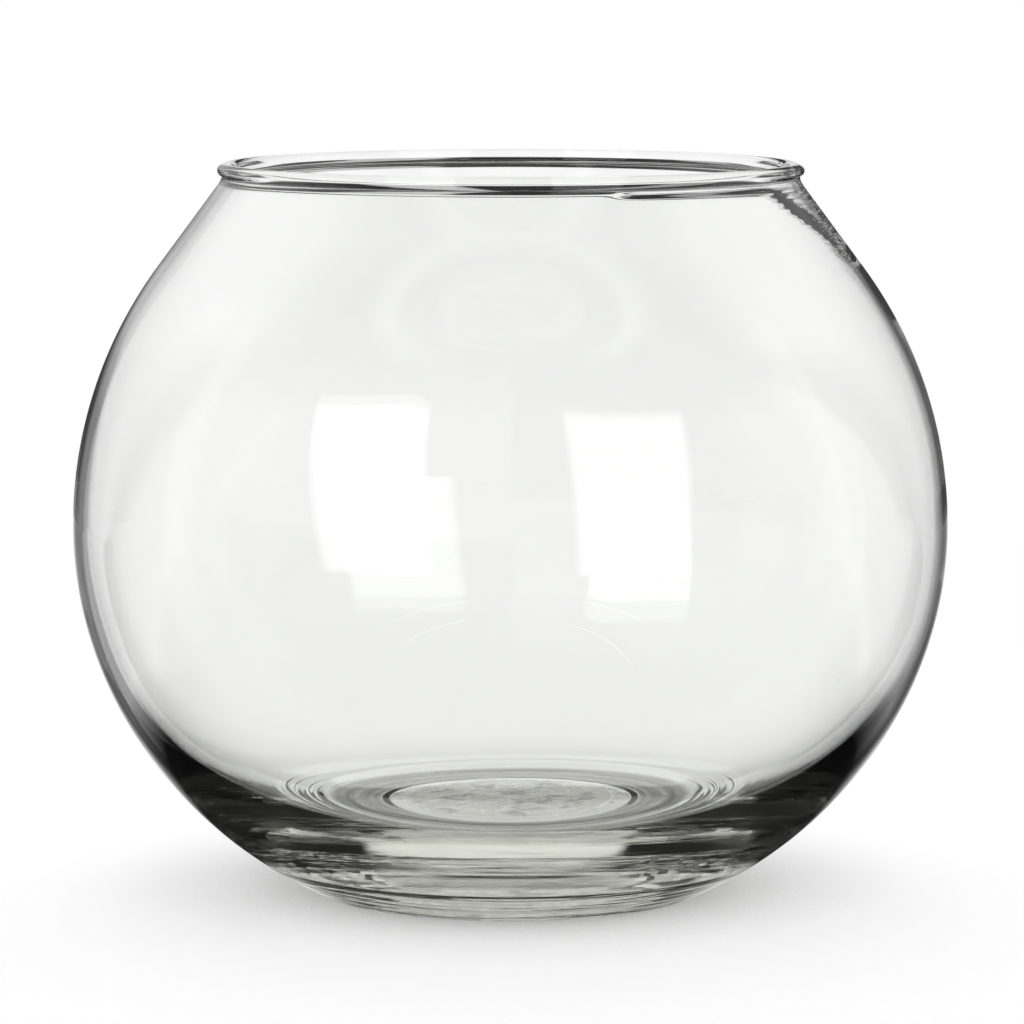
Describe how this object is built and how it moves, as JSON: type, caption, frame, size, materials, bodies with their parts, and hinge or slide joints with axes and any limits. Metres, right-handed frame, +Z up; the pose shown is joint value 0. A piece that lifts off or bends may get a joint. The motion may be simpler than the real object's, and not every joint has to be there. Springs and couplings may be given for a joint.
{
  "type": "rose bowl vase",
  "caption": "Round clear glass bowl vase with a wide fire-polished mouth and a heavy flat base, for cut flowers, a floating candle or a display.",
  "frame": {"origin": "middle of the circle that the bowl stands on, in the plane of the table", "axes": "+Z up along the axis of the bowl, towards the mouth; X and Y are free, as the bowl is round"},
  "size_m": [0.1524, 0.1524, 0.127],
  "materials": {
    "clear_glass": "clear, fire-polished, with a frosted push-up under the base"
  },
  "bodies": {
    "root": {"glass_bowl": "clear_glass"}
  },
  "joints": []
}
